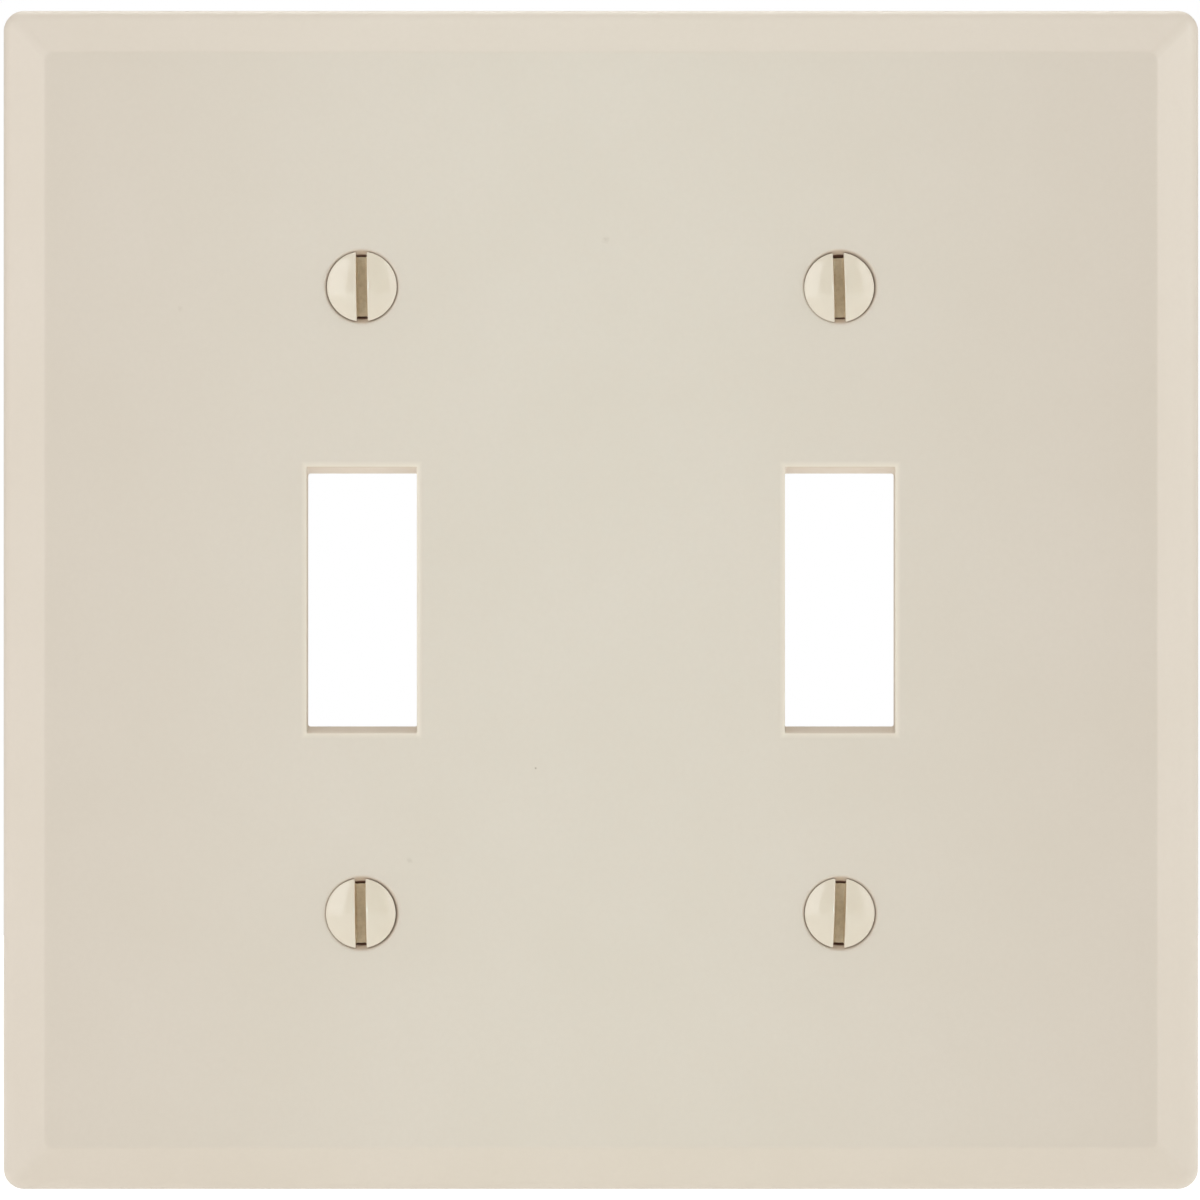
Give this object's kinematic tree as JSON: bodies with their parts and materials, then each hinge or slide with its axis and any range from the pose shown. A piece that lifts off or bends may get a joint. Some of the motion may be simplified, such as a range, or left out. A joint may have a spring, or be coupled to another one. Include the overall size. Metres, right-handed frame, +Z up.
{
  "type": "toggle switch wall plate",
  "caption": "Bevelled wall plate that covers a pair of toggle switches, with an opening for each toggle and slotted oval-head screws that hold it to the switches' straps.",
  "frame": {"origin": "centre of the screw pattern on the wall plane, which is also the middle of the plate's back rim", "axes": "+X to the right as the plate is seen on its wall, +Y into the wall, +Z up; the front face looks along -Y"},
  "size_m": [0.1158, 0.0135, 0.1142],
  "materials": {
    "plate_plastic": "satin moulded thermoset plastic, light almond",
    "screw_steel": "steel screw, the head painted light almond, the thread zinc plated"
  },
  "bodies": {
    "plate": {"wall_plate": "plate_plastic"},
    "upper_left_screw": {"upper_left_screw": "screw_steel"},
    "upper_right_screw": {"upper_right_screw": "screw_steel"},
    "lower_left_screw": {"lower_left_screw": "screw_steel"},
    "lower_right_screw": {"lower_right_screw": "screw_steel"}
  },
  "joints": [
    {"name": "upper_left_turn", "type": "hinge", "parent": "plate", "child": "upper_left_screw", "pos_m": [-0.02301, -0.00555, 0.03017], "axis": [0, 1, 0], "continuous": true},
    {"name": "upper_right_turn", "type": "hinge", "parent": "plate", "child": "upper_right_screw", "pos_m": [0.02293, -0.00555, 0.03007], "axis": [0, 1, 0], "continuous": true},
    {"name": "lower_left_turn", "type": "hinge", "parent": "plate", "child": "lower_left_screw", "pos_m": [-0.02312, -0.00555, -0.03016], "axis": [0, 1, 0], "continuous": true},
    {"name": "lower_right_turn", "type": "hinge", "parent": "plate", "child": "lower_right_screw", "pos_m": [0.02299, -0.00555, -0.03014], "axis": [0, 1, 0], "continuous": true}
  ]
}
